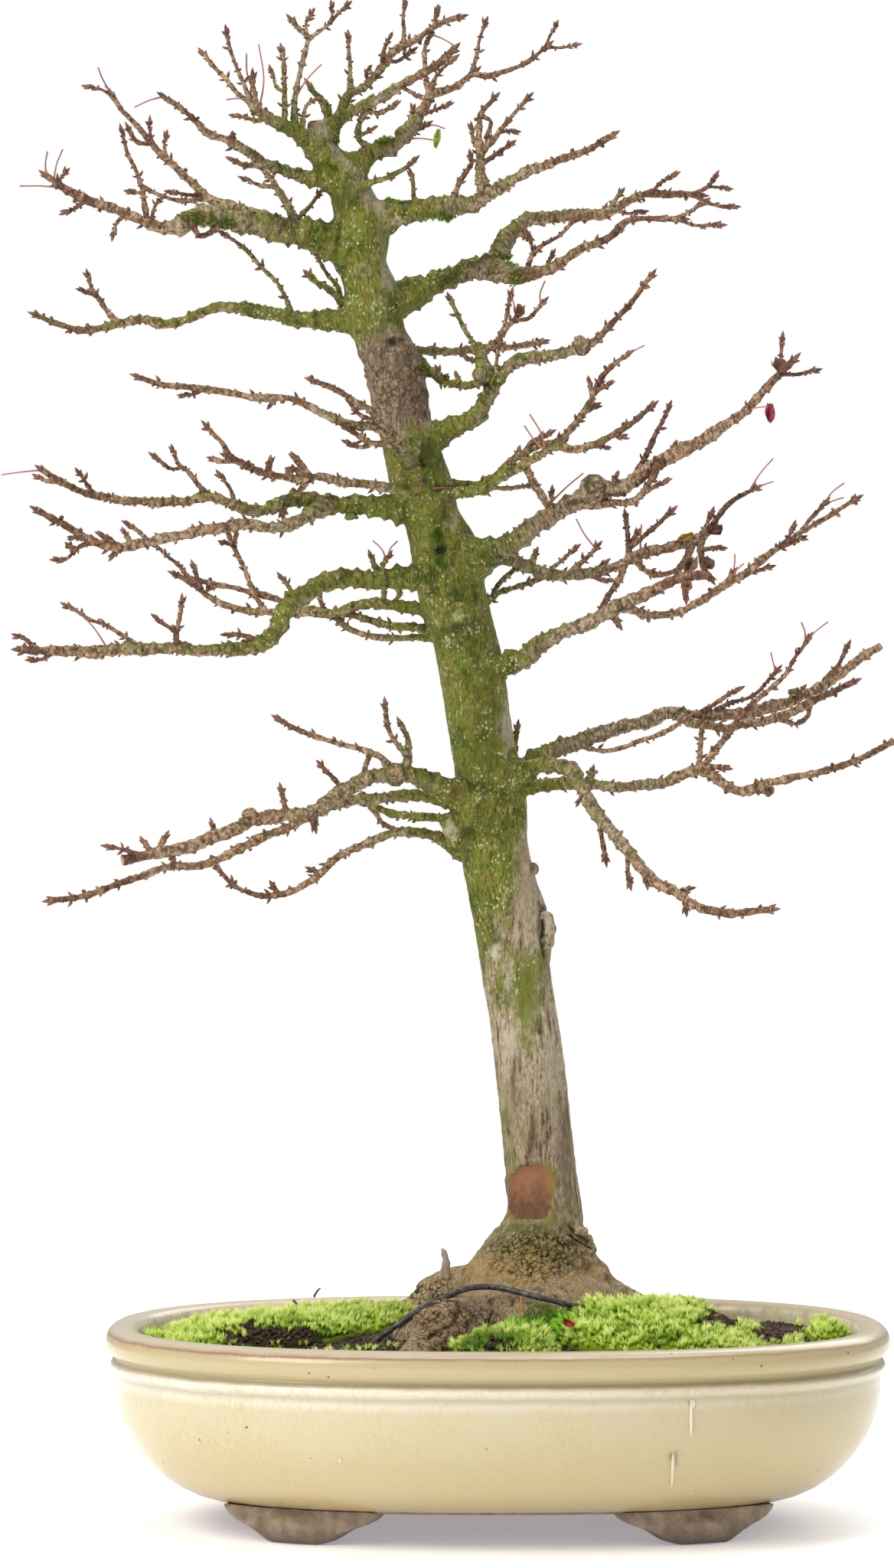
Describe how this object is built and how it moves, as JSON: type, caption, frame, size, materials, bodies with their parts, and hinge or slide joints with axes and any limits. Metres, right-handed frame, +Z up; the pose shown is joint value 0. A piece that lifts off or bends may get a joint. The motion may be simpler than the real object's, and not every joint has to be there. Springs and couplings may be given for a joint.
{
  "type": "trident maple pre-bonsai in an oval pot",
  "caption": "Bare winter trident maple pre-bonsai with a tall tapering trunk and spreading limbs, in an oval cream glazed footed pot with soil, moss and a tie wire.",
  "frame": {"origin": "middle of the bounding box's base, on the surface that the pot's feet stand on", "axes": "+Z up, the front of the tree faces -Y, +X to the viewer's right"},
  "size_m": [0.3868, 0.27, 0.6815],
  "materials": {
    "glazed_stoneware": "satin",
    "maple_bark": "rough",
    "potting_soil": "matte",
    "moss": "matte",
    "dark_wire": "satin",
    "screen_plastic": "matte"
  },
  "bodies": {
    "root": {"pot": "glazed_stoneware", "tree": "maple_bark", "soil": "potting_soil", "moss_left": "moss", "moss_front": "moss", "moss_right": "moss", "moss_tuft": "moss", "moss_back": "moss", "tie_wire": "dark_wire", "drainage_screen_left": "screen_plastic", "drainage_screen_right": "screen_plastic"}
  },
  "joints": []
}
